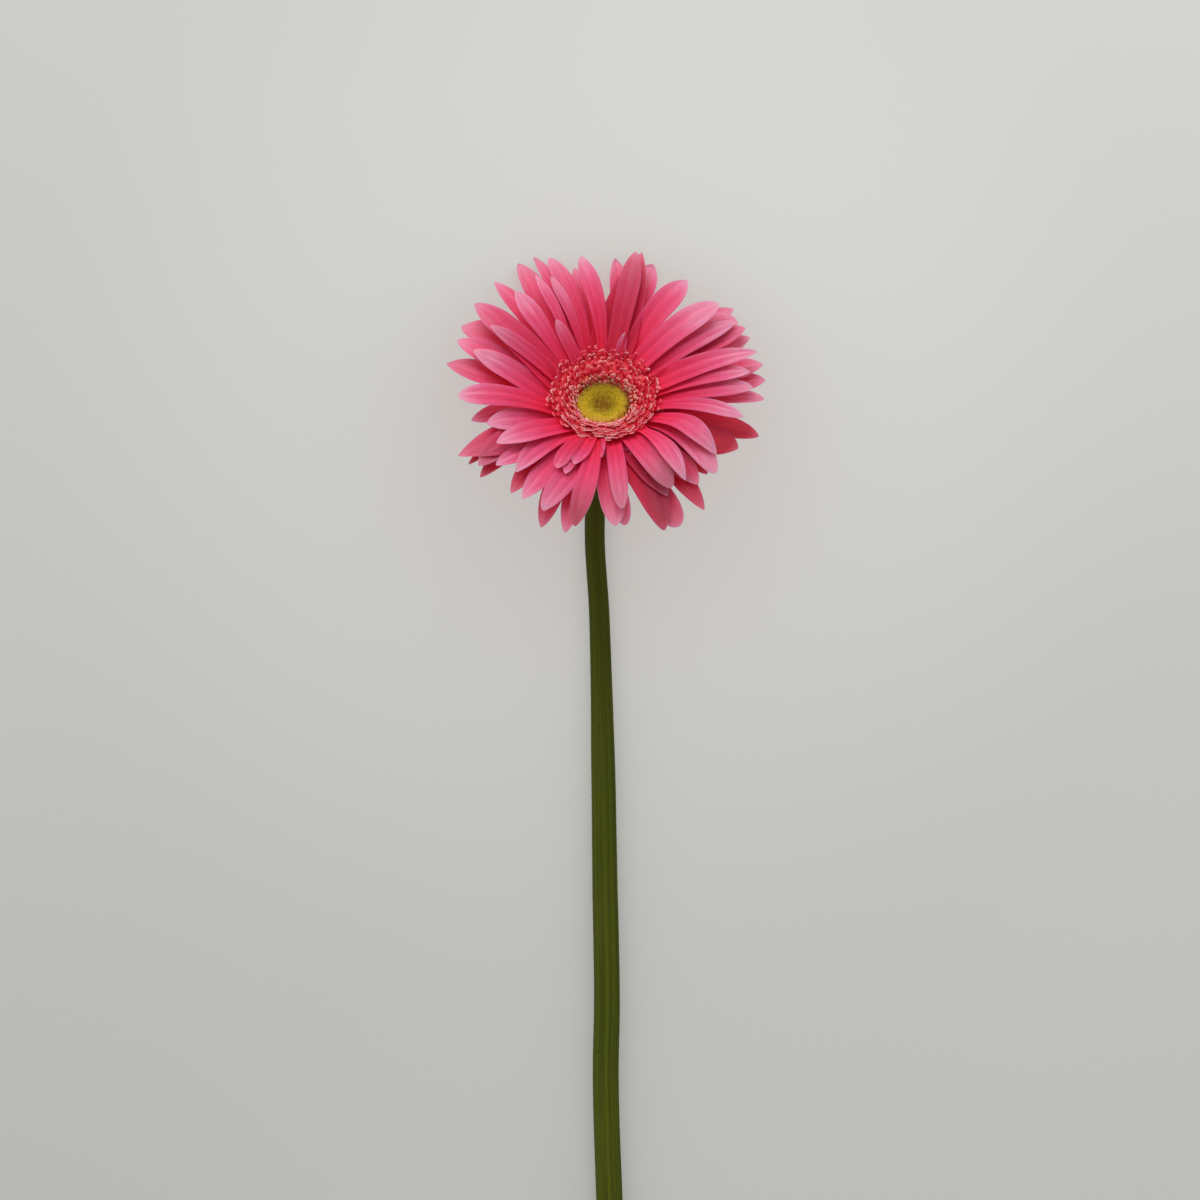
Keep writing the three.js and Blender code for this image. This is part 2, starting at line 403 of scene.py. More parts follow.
table = {
    "size": 9.0,
    "darkest": (180, 180, 177), "palest": (211, 212, 208),
    "cloudScale": 2.5, "clouds": 0.4,
    "northward": 0.58,  # painted light: how fast it pales away from the stem, toward the lamps, to a metre
    "least": -0.2, "most": 0.06,  # limits of that
    "paleFrom": 0.06, "paleTo": 0.2, "paler": 0.28,  # painted light: a little paler round the head, where the flower's shade falls
    "base": 0.29,
}
floorMesh = bpy.data.meshes.new("floor")
half = table["size"] / 2
floorCorners = [(-half, -half, 0), (half, -half, 0), (half, half, 0), (-half, half, 0)]
floorMesh.from_pydata(floorCorners, [], [(0, 1, 2, 3)])
floor = addObject("floor", floorMesh)
skin = Skin("tableTop", {"Roughness": 0.9, "Specular IOR Level": 0.1})
east, north, _ = skin.place().split()
north = north - float(headCentre[1])
away = (east * east + north * north).root()
paleness = skin.noise(skin.place(), table["cloudScale"]) * table["clouds"] + table["base"]
# painted light: paler toward the lamps, and paler still round the head, where the flower's shade falls
paleness = paleness + (north * table["northward"]).atLeast(table["least"]).atMost(table["most"])
paleness = paleness + (1.0 - away.between(table["paleFrom"], table["paleTo"])) * table["paler"]
floorMesh.materials.append(skin.cover(
    skin.blend(paleness.atLeast(0.0).atMost(1.0), table["darkest"], table["palest"])))

light = {
    "sky": 0.58,
    "skyColour": (1.0, 0.995, 0.985),
    "keyPower": 98.0,
    "keySize": 3.2,
    "keyFrom": (-0.7, 3.0, 1.55),
    "tablePower": 28.5,  # a light that only the table takes, so that its shadows stay faint
    "tableFrom": (0.5, 1.5, 1.1),
    "tableSize": 1.0,
}
world = bpy.data.worlds.new("studio")
bpy.context.scene.world = world
world.use_nodes = True
sky = world.node_tree.nodes["Background"]
sky.inputs["Color"].default_value = (*light["skyColour"], 1)
sky.inputs["Strength"].default_value = light["sky"]


def addLamp(name, power, size, place, target):
    lamp = addObject(name, bpy.data.lights.new(name, "AREA"))
    lamp.data.energy, lamp.data.size = power, size
    lamp.location = place
    lamp.rotation_euler = (Vector(target) - lamp.location).to_track_quat("-Z", "Y").to_euler()
    return lamp


keyLamp = addLamp("key", light["keyPower"], light["keySize"], light["keyFrom"], headCentre)
keyLamp.data.shape = "DISK"
tableLamp = addLamp("tableLight", light["tablePower"], light["tableSize"], light["tableFrom"], (0, 0, 0))
tableOnly = bpy.data.collections.new("tableOnly")
tableOnly.objects.link(floor)
tableLamp.light_linking.receiver_collection = tableOnly
tableLamp.light_linking.blocker_collection = tableOnly
allButTable = bpy.data.collections.new("allButTable")  # what the key light shines on
allButTable.objects.link(floor)
allButTable.collection_objects[0].light_linking.link_state = "EXCLUDE"
keyLamp.light_linking.receiver_collection = allButTable
bpy.context.scene.view_settings.view_transform = "Standard"
print("camera, table and light set")


petal = {
    "sides": 36,  # points round the blade's section
    "stations": 40,  # sections from root to tip
    "wider": 1.07,  # of the frame's width
    "thickness": 0.42 * mm,
    "ribs": 2.5,
    "ribDepth": 0.2 * mm,
    "cup": 0.16,
    "ruffle": 0.5 * mm,
    "rootReach": 0.045,  # how far the root runs on into the cup, as a share of the length
    "lowest": 0.9 * mm,  # the middle line keeps this far over the table
    "sway": 0.25 * mm,  # how far single petals stray to the side
    "twist": 6.0,  # and how far they turn about their length, in degrees
    "pivot": 0.6,  # where along the length a taper leaves the width as it is
    "rootWidth": 0.32,  # least half width at the root, as a share of the width
    "seed": 11,
}

skin = Skin("petalSkin", {
    "Roughness": 0.5, "Specular IOR Level": 0.2, "Emission Strength": 0.085,
    "Subsurface Weight": 0.6, "Subsurface Radius": (1.0, 0.22, 0.25), "Subsurface Scale": 2.4 * mm,
})
across, along, tone = skin.field("blade", "Vector").split()
streaks = skin.noise(skin.vector(across * 9.0, along * 1.1, tone * 37.0), 1.6, 4.0, 0.6)
fine = skin.noise(skin.vector(across * 34.0, along * 2.4, tone * 53.0), 1.2, 2.0, 0.55)
cloud = skin.noise(skin.vector(across * 1.3, along * 3.0, tone * 91.0), 1.4, 2.0)
# mood holds painted shade over whole petals, paleness, and painted shade at the tips
deep, pale, shade = skin.field("mood", "Vector").split()
# pale raises the colour along its ramp and at the tip: painted light on petals in shadow, and the petal's own
# paler tone elsewhere
ripe = along + pale * 0.25 + (streaks - 0.5) * 0.30 + (cloud - 0.5) * 0.22 + (tone - 0.5) * 0.10
flush = skin.ramp(ripe, [
    (0.0, (226, 14, 44)),
    (0.30, (216, 24, 60)),
    (0.55, (216, 48, 92)),
    (0.78, (228, 84, 124)),
    (0.95, (236, 132, 162)),
])
paleEnd = (along + (streaks - 0.5) * 0.12).between(0.90, 1.02)
flush = skin.blend(paleEnd * (pale * 0.3 + 0.45), flush, (238, 168, 186))
flush = skin.blend((0.5 - fine).atLeast(0.0), flush, (176, 12, 50))
# painted shade: the grooves between the ribs are darkened
flush = skin.blend((-skin.field("ridge")).between(0.1, 0.9) * (1.1 - along) * 0.55, flush, (178, 8, 44))
# painted shade: rows further back, under the others, are darkened
flush = skin.blend((1.0 - skin.field("rowDepth")) * 0.25, flush, (190, 30, 62))
# painted shade: petals that lie in the shadow of others are darkened to crimson
flush = skin.blend(deep * (1.0 - paleEnd * 0.5) * 0.75, flush, (156, 14, 44))
# painted shade: tips turned away from the light are darkened and dulled
flush = skin.blend(shade * along.between(0.6, 0.98) * 0.8, flush, (132, 44, 60))
underside = (-skin.field("face")).between(0.0, 0.3)
flush = skin.blend(underside * 0.4, flush, (228, 124, 150))
# a faint glow stands for the light that the roots pass to each other
glow = skin.blend(along.between(0.1, 0.8), (226, 24, 60), (0, 0, 0))
petalPaint = skin.cover(flush, 0.5 + fine * 0.25, streaks * 0.6 + fine * 0.5, 0.12 * mm, glow)

petalOutline = [(0.0, 0.46), (0.1, 0.72), (0.25, 0.88), (0.42, 0.96), (0.60, 1.0), (0.78, 0.98), (1.0, 0.86)]


def bladeGrowth(name, sizes, outline, material):
    # sweeps a leaf-like blade along each line: ribbed, cupped, ruffled, and rounded at its tip
    growth = Growth(name, sizes, "sides thickness ribs ribDepth cup ruffle seed")
    swept = growth.sweep(growth.lines(), growth.size("sides"))
    across, top, _ = growth.field("section", "FLOAT_VECTOR").split()
    along, tone = growth.field("along"), growth.field("tone")
    blunt, reach = growth.field("blunt"), growth.field("reach")
    tipRun = ((along - 0.70) / 0.30).atLeast(0.0).atMost(1.0)
    tipShape = (1.0 - tipRun ** (1.7 + blunt * 1.8)).atLeast(0.0005) ** (0.85 - blunt * 0.35)
    halfWidth = reach * growth.curve(along, outline) * tipShape
    drift = growth.noise(growth.vector(along * 2.2, tone * 77.0, 3.0), 1.0, 1.0) - 0.5
    ridge = (across * growth.size("ribs") * math.pi + drift * 2.0).cosine()
    ridge = ridge * (1.0 - across * across) * along.between(0.02, 0.25) * (1.0 - along.between(0.86, 1.0))
    scale = (reach / (3.4 * mm)).atMost(1.0)  # narrow blades have shallower ribs
    rib = ridge * growth.size("ribDepth") * scale
    lift = growth.size("cup") * halfWidth * across * across * (1.5 - along) * growth.field("cupped")
    wave = growth.noise(growth.vector(along * 3.0, across * 0.7, tone * 131.0), 1.3, 1.0) - 0.5
    wave = wave * growth.size("ruffle") * scale * (across * across * 0.8 + 0.35) * along.between(0.1, 0.7)
    leaf = top * growth.size("thickness") * 0.5 * (1.15 - along * 0.65) * (1.0 - tipRun ** 8.0 * 0.7)
    rise = rib + lift + wave + leaf + growth.field("hook") * tipRun * tipRun
    sideStep = growth.field("side", "FLOAT_VECTOR") * (across * halfWidth)
    placed = growth.field("centre", "FLOAT_VECTOR") + sideStep + growth.field("up", "FLOAT_VECTOR") * rise
    shaped = growth.node("GeometryNodeSetPosition", {}, {"Geometry": swept, "Position": placed})["Geometry"]
    shaped = growth.store(shaped, "blade", growth.vector(across, along, tone), "FLOAT_VECTOR")
    shaped = growth.store(shaped, "face", top)
    shaped = growth.store(shaped, "ridge", ridge)
    growth.finish(shaped, material)
    return growth


petalGrowth = bladeGrowth("petalBlade", petal, petalOutline, petalPaint)


def framePetal(name):
    # reads a petal's middle line, side directions and width out of its solid in the frame
    points, _ = uniquePoints(name)
    middle = points.mean(axis=0)
    heading = np.linalg.svd(points - middle)[2][0]
    if heading @ (middle - headCentre) < 0:
        heading = -heading
    rings = points[np.argsort(points @ heading)].reshape(-1, 6, 3)
    centres, sides, widths = [], [], []
    for ringPoints in rings:
        gaps = np.linalg.norm(ringPoints[:, None] - ringPoints[None], axis=2)
        a, b = np.unravel_index(gaps.argmax(), gaps.shape)
        inner = np.delete(ringPoints, [a, b], axis=0)
        centres.append(inner.mean(axis=0))
        side = ringPoints[b] - ringPoints[a]
        if side @ np.cross(axis, heading) < 0:
            side = -side
        sides.append(side / np.linalg.norm(side))
        widths.append(gaps.max())
    centres = np.array(centres)
    shares = (centres - centres[0]) @ heading
    return centres, shares / shares[-1], np.mean(sides, axis=0), max(widths)


petalRule = {  # the frame's own rule for a petal's middle line, in mm and degrees, about the head's centre
    "rootRadius": 13.2, "rootHeight": -1.0,
    "rootStep": 0.6,  # each row is rooted this much further in, and higher
    "slope": 9.3, "slopeUphill": 6.7, "slopeStep": 1.6,
    "arch": 20.8, "archUphill": 4.8, "archReach": 41.0,
    "stations": 8,
}


def ruledHeight(x, y, row):
    out = math.hypot(x, y) - (petalRule["rootRadius"] - petalRule["rootStep"] * row)
    share = out / petalRule["archReach"]
    sine = y / math.hypot(x, y)
    slope = petalRule["slope"] + petalRule["slopeUphill"] * sine + petalRule["slopeStep"] * row
    arch = (petalRule["arch"] - petalRule["archUphill"] * sine) * share * (1 - share)
    return petalRule["rootHeight"] + petalRule["rootStep"] * row + out * math.tan(math.radians(slope)) + arch


def ruledPetal(tip, row, lean):
    # a middle line for a petal that the frame leaves out, whose tip is given as seen from above
    x, seen = tip
    y = z = 0.0
    for _ in range(30):
        y = (seen - z * axis[1]) / axis[2]
        z = ruledHeight(x, y, row)
    turn = math.atan2(y, x) + math.radians(lean)
    rootRadius = petalRule["rootRadius"] - petalRule["rootStep"] * row
    start = np.array([math.cos(turn), math.sin(turn)]) * rootRadius
    shares = np.linspace(0, 1, petalRule["stations"])
    centres = []
    for share in shares:
        px, py = start + (np.array([x, y]) - start) * share
        centres.append(headCentre + (px * sideways + py * uphill + ruledHeight(px, py, row) * axis) * mm)
    centres = np.array(centres)
    side = np.cross(axis, centres[-1] - centres[0])
    return centres, shares, side / np.linalg.norm(side)


chance = np.random.default_rng(petal["seed"])


def petalRun(centres, shares, side, width, traits):
    # stations stand closer together at the tip, where the outline turns in
    steps = np.linspace(0, 1, petal["stations"])
    along = 1 - (1 - steps) ** 1.5
    reached = along * (1 + petal["rootReach"]) - petal["rootReach"]
    reached = reached * traits.get("longer", 1.0)
    fits = [np.polynomial.polynomial.Polynomial.fit(shares, centres[:, i], 4) for i in range(3)]
    line = np.stack([fit(reached) for fit in fits], axis=1)
    heading = np.stack([fit.deriv()(reached) for fit in fits], axis=1)
    heading /= np.linalg.norm(heading, axis=1, keepdims=True)
    sides = np.repeat(side[None], len(line), axis=0)
    ups = np.cross(heading, sides)
    ups /= np.linalg.norm(ups, axis=1, keepdims=True)
    sway = chance.normal(0, petal["sway"])
    bulge = np.sin(along * math.pi)
    aside = (traits.get("bow", 0.0) * mm + sway) * bulge + traits.get("swing", 0.0) * mm * along
    line = line + sides * aside[:, None] + ups * (traits.get("lift", 0.0) * mm * bulge)[:, None]
    turned = math.radians(chance.normal(0, petal["twist"])) * along
    cosTurn, sinTurn = np.cos(turned)[:, None], np.sin(turned)[:, None]
    sides, ups = sides * cosTurn + ups * sinTurn, ups * cosTurn - sides * sinTurn
    line[:, 2] = np.maximum(line[:, 2], petal["lowest"])
    tapered = 1 + traits.get("taper", 0.0) * (petal["pivot"] - np.maximum(along, 0.35))
    # roots stay broad, whatever the taper
    rooted = (1 + np.cos(math.pi * np.clip((along - 0.18) / 0.34, 0, 1))) / 2
    rooted = width * petal["rootWidth"] * traits.get("root", 1.0) * rooted
    ones = np.ones(len(line))
    return {
        "centre": line, "side": sides, "up": ups, "along": along,
        "reach": np.maximum(width / 2 * traits.get("wide", 1.0) * tapered, rooted),
        "tone": ones * chance.random(),
        "blunt": ones * traits.get("blunt", chance.uniform(0.2, 0.6)),
        "cupped": ones * traits.get("cupped", chance.uniform(0.6, 1.5)),
        "hook": ones * chance.uniform(-0.5, 0.5) * mm,
        "rowDepth": ones * traits["row"] / 5,
        "mood": ones[:, None] * [traits.get(mood, 0.0) for mood in ("deep", "pale", "shade")],
    }


# what differs on each petal: longer, swing, bow, wide, taper, and the rest by name. Swing moves the tip
# sideways, bow the middle sideways and lift the middle upwards, in mm. A taper over 0 narrows the tip, and
# one under 0 the root. Root is the least width there. Deep darkens petals that lie in shadow, as painted
# shade; shade darkens tips turned away from the light, as painted shade; pale makes the colour paler, partly
# as painted light on shaded petals and partly as the petal's own tone.
petalTraits = {
    "back_1": (1.019, -0.5, -4.8, 1.3, 0.4, {}),
    "back_2": (1.008, 0.7, -2.8, 1.2, 0, {}),
    "back_3": (1.01, 0.8, -3.9, 1.08, -0.2, {"deep": 0.2}),
    "back_4": (1.012, 0.3, -1.2, 1.13, 0.4, {"deep": 1.35, "shade": 0.5}),
    "back_5": (1.028, 0, -2.2, 0.92, -1.01, {"blunt": 1, "deep": 0.6}),
    "back_6": (1.017, 0.5, -2.2, 1, -0.17, {"blunt": 0.9}),
    "back_7": (1.008, 0, -0.9, 0.9, 0, {"deep": 0.6}),
    "back_8": (1.015, 0.3, -2.7, 0.78, -0.22, {"deep": 1, "shade": 0.4}),
    "back_9": (1.008, -0.3, 2.1, 1.05, -0.44, {"pale": 0.2, "shade": 0.35}),
    "back_10": (1, -0.2, -0.6, 1.11, 0.42, {"deep": 0.1}),
    "back_11": (1.037, -0.3, -2.4, 0.8, -0.37, {}),
    "second_1": (1.028, 0.9, -0.4, 1.31, -0.15, {"lift": 1}),
    "second_2": (1.003, 0.3, 0.2, 1.5, -0.5, {"blunt": 0.8}),
    "second_3": (1.015, -0.6, -4, 1.06, -0.52, {}),
    "second_4": (1, -0.1, -1.9, 0.74, -0.23, {"deep": -0.2}),
    "second_5": (1.011, 0, -4.6, 1.47, -0.41, {"deep": 1.45, "shade": 0.5}),
    "second_6": (1.014, -0.7, -0.9, 0.93, -0.32, {"deep": 0.95}),
    "second_7": (1.029, -0.2, 0.6, 1.5, 1.2, {"blunt": 0.8, "deep": 1, "shade": 0.7}),
    "second_8": (1.022, 0.6, 0.4, 0.88, 0.1, {"deep": 0.35}),
    "second_9": (1.018, 0.7, -1.2, 0.95, -0.11, {"deep": 0.9}),
    "second_10": (1, 1.4, 1.3, 1.75, 1.1, {"deep": 0.7}),
    "second_11": (0.99, 0.2, -3.2, 1, 0, {"deep": 0.3}),
    "second_12": (1.018, -0.9, -5, 1.62, -0.63, {"deep": 0.3}),
    "second_13": (1.012, -0.1, -1.2, 0.85, -0.1, {}),
    "second_14": (1.028, -0.6, -2.5, 0.6, -0.43, {}),
    "third_1": (1.01, -0.6, -1.6, 1.1, -0.87, {"deep": 0.5}),
    "third_2": (1.009, 0, -1, 1.18, 0.12, {"blunt": 0.8, "deep": 0.15}),
    "third_3": (1.024, 0.5, -2.7, 0.56, -1.2, {}),
    "fourth_1": (1.054, 1.9, -1.2, 1.4, 1.3, {"deep": 0.8}),
    "fourth_2": (1.018, 1.9, 0.1, 1, 0.1, {"lift": 1, "pale": 0.5}),
    "fourth_3": (1.006, -0.2, -2.5, 0.95, -0.3, {"lift": 0.6}),
    "fourth_4": (1.006, -1.1, 1.5, 0.86, -0.8, {"blunt": 0.9}),
    "fourth_5": (1.007, 1, 1.9, 1, -0.46, {}),
    "fourth_6": (1.015, 0.5, 2.7, 0.85, -0.7, {}),
    "fourth_7": (1.007, 0.2, 0.5, 1.15, -0.28, {}),
    "fourth_8": (0.978, -0.3, 1.3, 1, 0.1, {"pale": 0.5}),
    "fourth_9": (1.031, -0.2, -1.8, 0.45, -1.35, {}),
    "fifth_1": (1.023, 0.4, 0.6, 0.95, -0.67, {"blunt": 0.5}),
    "fifth_2": (1.006, 0.3, -0.85, 0.9, 0.1, {"lift": 0.5}),
    "fifth_3": (1.014, 0, 0.9, 0.78, -0.8, {}),
    "fifth_4": (1.012, -0.5, -1.5, 0.88, -0.36, {"blunt": 0.8, "pale": 0.5, "shade": 0.7}),
    "fifth_5": (1.015, 0, -0.2, 0.72, 0, {"blunt": 0.9, "shade": 0.5}),
    "fifth_6": (1.028, -0.6, 4, 1, -0.52, {}),
    "fifth_7": (1.01, 0.3, -0.2, 1.02, 0.3, {}),
    "fifth_8": (0.99, -0.5, 0.3, 1, 0.31, {"deep": 0.3}),
    "fifth_9": (1.034, -0.5, -1.3, 0.45, -1.35, {}),
    "front_1": (1.012, 0.5, -1.4, 0.76, -0.4, {"root": 0.5, "deep": 0.75}),
    "front_2": (0.995, 0, 0, 0.96, -0.23, {"blunt": 0.55, "pale": 0.6}),
    "front_3": (1.006, 0.3, -1.2, 0.82, 0.78, {}),
    "front_4": (1, 0.3, 0.2, 0.6, -0.91, {"pale": 0.3}),
    "front_5": (1, 0.3, 0.3, 0.63, -1.33, {}),
    "front_6": (1.01, 0, 2, 0.74, -0.8, {"shade": 1}),
    "front_7": (1.006, 0.3, 2.3, 0.92, -0.19, {}),
    "front_8": (0.993, 0, -0.1, 0.8, -0.5, {"root": 0.35, "blunt": 0.8}),
    "front_9": (1.019, -1.2, 0.2, 0.62, -1.35, {}),
    "front_10": (1.019, 0.7, -2.8, 0.57, -1.22, {"blunt": 0.5}),
}

# small petals between the frame's: tip from the head's centre as seen from above, row, width, lean, traits
smallPetals = [
    ((41, 32.8), 0, 6.5, 16, {"longer": 1.019, "swing": 0.9, "bow": -0.3, "wide": 1.3, "taper": -0.21}),
    ((44.7, 27.1), 2, 6, 18, {
        "longer": 0.995, "swing": -0.2, "bow": -0.9, "wide": 1.39, "taper": -0.25, "deep": 0.3,
    }),
    ((32.1, -19.2), 0, 6.5, 12, {"longer": 1.019, "swing": -0.4, "wide": 0.94, "deep": 1}),
    ((20.2, -26.1), 2, 6, 6, {
        "longer": 1.01, "swing": -0.7, "bow": -1.1, "wide": 1.46, "taper": 0.58, "deep": 0.9,
    }),
    ((-39.4, -16.7), 2, 6, 8, {"swing": 0.2, "bow": -3.3, "wide": 1.4, "taper": -0.11, "deep": 0.6}),
    ((-42.5, -16.4), 0, 5.5, 6, {"swing": 0.1, "bow": -2.4, "wide": 0.8, "taper": 0.11, "deep": 1.2}),
    ((-46.6, 22.7), 2, 6, 14, {"swing": -0.5, "bow": 0.5, "wide": 1.49, "taper": -0.14}),
]
innerPetals = [
    ((-15.1, 29.6), 6, 3.6, 0, {"wide": 1.2, "taper": -0.1, "deep": 0.35}),
    ((6.6, 25.5), 5.2, 3.2, 4, {"deep": 0.1, "pale": -0.3, "blunt": 0.4}),
    ((-14.5, -17.6), 5.4, 4.4, 0, {
        "longer": 1.02, "wide": 1.1, "taper": -0.7, "blunt": 0.6, "pale": -0.7, "deep": 0.15,
    }),
    ((-8.8, -16.1), 5.5, 4.6, -8, {"longer": 1.06, "bow": 1, "wide": 1.2, "blunt": 0.4, "pale": -0.6}),
    ((-12, -19.8), 5.0, 4, -4, {"taper": -0.5, "pale": -0.5}),
    ((-0.1, -11.8), 6, 1.5, 0, {"pale": -0.8}),
    ((-0.9, -14.9), 5.6, 1.5, 4, {"deep": 0.1, "pale": -0.8}),
    ((-18, 17.6), 6.1, 0.8, 6, {"blunt": 1, "bow": 0.8, "deep": 0.8, "pale": -1}),
    ((19.8, 14.9), 6.1, 0.8, -14, {"blunt": 1, "bow": 1.4, "deep": 0.6, "pale": -1}),
    ((-35.9, 27.6), 4.6, 5.6, 0, {"deep": 0.3, "cupped": 0.8}),
    ((28, 15), 2.8, 8, 12, {"deep": 0.7, "pale": -1}),
    ((29, 9), 2.4, 8, 12, {"deep": 0.8, "pale": -1}),
]
underPetals = {  # short ones that close the gaps between the roots
    "rings": [(22, 24.0, -0.5), (20, 20.5, 2.0)],  # how many, how far out, and row
    "shorter": -2.5, "longer": 2.0,
    "stagger": 0.4,  # of a row, between neighbours
    "northward": 0.8,
    "flattened": 0.79,  # as the tilted head is seen from above
    "width": 8.5,
}

rowNames = ["back", "second", "third", "fourth", "fifth", "front"]
for row, rowName in enumerate(rowNames):
    members = sorted(name for name in nodes if name.startswith("petal_" + rowName + "_"))
    blades = []
    for name in members:
        centres, shares, side, width = framePetal(name)
        *led, others = petalTraits[name[6:]]
        traits = {"row": row, **dict(zip(("longer", "swing", "bow", "wide", "taper"), led)), **others}
        blades.append(petalRun(centres, shares, side, width * petal["wider"], traits))
    for tip, itsRow, width, lean, traits in smallPetals:
        if itsRow == row:
            traits = {"row": row, "cupped": 1.2, **traits}
            blades.append(petalRun(*ruledPetal(tip, row, lean), width * mm, traits))
    piece = petalGrowth.grow(rowName + "Petals", bladeLines(rowName, blades))
    settle(piece, members)
    print(piece.name, len(blades), "petals,", len(piece.data.polygons), "faces")

blades = []
for tip, row, width, lean, traits in innerPetals:
    blades.append(petalRun(*ruledPetal(tip, row, lean), width * mm, {"row": 5, "cupped": 1.0, **traits}))
settle(petalGrowth.grow("innerPetals", bladeLines("inner", blades)))

blades = []
for count, reach, row in underPetals["rings"]:
    for number in range(count):
        turn = 2 * math.pi * number / count
        out = reach + chance.uniform(underPetals["shorter"], underPetals["longer"])
        tip = out * math.cos(turn), out * math.sin(turn) * underPetals["flattened"] + underPetals["northward"]
        ruled = ruledPetal(tip, row + underPetals["stagger"] * (number % 2 - 0.5), 0)
        blades.append(petalRun(*ruled, underPetals["width"] * mm, {"row": 1, "deep": 0.3, "blunt": 0.1}))
settle(petalGrowth.grow("underPetals", bladeLines("under", blades)))
print("petals grown")


def turnedPiece(name, profile, sides, material):
    # a shape turned about the head's axis from (radius, height) in mm, closed at both ends
    turns = np.linspace(0, 2 * math.pi, sides, endpoint=False)
    corners = [(r * math.cos(t) * mm, r * math.sin(t) * mm, z * mm) for r, z in profile for t in turns]
    corners += [(0, 0, profile[0][1] * mm), (0, 0, profile[-1][1] * mm)]
    last = len(profile) - 1
    faces = []
    for i in range(sides):
        j = (i + 1) % sides
        faces += [(k * sides + i, k * sides + j, (k + 1) * sides + j, (k + 1) * sides + i) for k in range(last)]
        faces += [(len(corners) - 2, j, i), (len(corners) - 1, last * sides + i, last * sides + j)]
    mesh = bpy.data.meshes.new(name)
    mesh.from_pydata(corners, [], faces)
    mesh.transform(headPlace)
    mesh.materials.append(material)
    mesh.shade_smooth()
    return addObject(name, mesh)


floretBed = {  # the ring that the florets stand on
    "profile": [  # radius and height in the head's frame, mm
        (8.4, 2.95), (12.0, 4.6), (15.0, 6.9), (15.9, 7.7), (15.0, 7.75), (13.6, 7.3), (11.0, 5.9), (9.6, 4.4),
        (8.4, 3.4),
    ],
    "sides": 96,
}
skin = Skin("floretBedSkin", {
    "Roughness": 0.55,
    "Subsurface Weight": 0.4, "Subsurface Radius": (1.0, 0.2, 0.2), "Subsurface Scale": 1.0 * mm,
})
clumps = skin.noise(skin.place(), 1100.0)
bedPaint = skin.cover(skin.blend(clumps, (206, 14, 34), (226, 40, 62)), None, clumps, 0.5 * mm)
settle(turnedPiece("floretBed", floretBed["profile"], floretBed["sides"], bedPaint))

discBuds = {
    "count": 420,
    "radius": 8.1 * mm,
    "rim": 2.5 * mm,  # bed to tip at the edge
    "dip": 0.9 * mm,  # how much lower the middle is
    "width": 0.5 * mm,
    "height": 1.5 * mm,
    "uneven": 0.15 * mm,
    "leanIn": 60.0,  # how strongly the outer ones lean to the middle
    "aside": 0.4 * mm,  # the bed stands a little off the head's axis
    "seed": 5,
}
skin = Skin("budSkin", {"Roughness": 0.55, "Specular IOR Level": 0.3})
height, tone, uphillShare = skin.field("height"), skin.field("tone"), skin.field("uphill")
yellow = skin.ramp(skin.field("fromMiddle") + (tone - 0.5) * 0.16, [
    (0.0, (146, 102, 4)), (0.22, (148, 106, 6)), (0.48, (178, 150, 16)),
    (0.74, (204, 176, 30)), (1.0, (200, 162, 44)),
])
# painted shade: each bud is darker low down, between its neighbours
yellow = skin.blend((1.0 - height.between(0.1, 0.75)) * 0.8, yellow, (140, 106, 8))
yellow = skin.blend((tone - 0.6).atLeast(0.0) * 0.6, yellow, (214, 200, 84))
# painted shade: the uphill side of the bed, which the florets' wall shades, is darker; the lowest rim is made
# paler and peach
yellow = skin.blend(uphillShare.between(0.15, 1.0) * 0.36, yellow, (118, 92, 12))
yellow = skin.blend((-uphillShare).between(0.7, 1.0) * 0.5, yellow, (216, 158, 84))
budPaint = skin.cover(yellow)

growth = Growth("budBed", discBuds, "count radius rim dip width height uneven leanIn aside seed")
index = growth.index()
share = ((index + 0.5) / growth.size("count")).root()
turn = index * goldenTurn
radius = share * growth.size("radius")
level = head["bedHeight"] + growth.size("rim") - growth.size("dip") * (1.0 - share.between(0.15, 0.9))
level = level - growth.size("height") * 0.75 + growth.chance(-1.0, 1.0, 1) * growth.size("uneven")
dots = growth.dots(growth.vector(radius * turn.cosine() - growth.size("aside"), radius * turn.sine(), level), {
    "fromMiddle": share, "uphill": share * turn.sine(), "tone": growth.chance(0.0, 1.0, 2),
})
bud = growth.node("GeometryNodeMeshUVSphere", {}, {"Segments": 6, "Rings": 5, "Radius": 1.0})["Mesh"]
_, _, tall = growth.position().split()
bud = growth.store(bud, "height", tall * 0.5 + 0.5)
east, north, _ = growth.position().split()
inward = share * share * -growth.size("leanIn")
facing = growth.facing(growth.vector(east * inward, north * inward, 1.0))
grown = growth.chance(0.85, 1.15, 3) * growth.size("width")
buds = growth.plant(dots, bud, facing, growth.vector(grown, grown, growth.size("height")))
growth.finish(buds, budPaint)
nowhere = lineMesh("start", [np.zeros((1, 3))], {})
budsPiece = settle(growth.grow("discBuds", nowhere, headPlace), ["disc_buds"])
print("buds:", len(budsPiece.data.polygons), "faces")


crater = {"from": 8.2 * mm, "across": 9.6 * mm, "levelUnit": 10 * mm}  # from the bed's inner edge to its rim


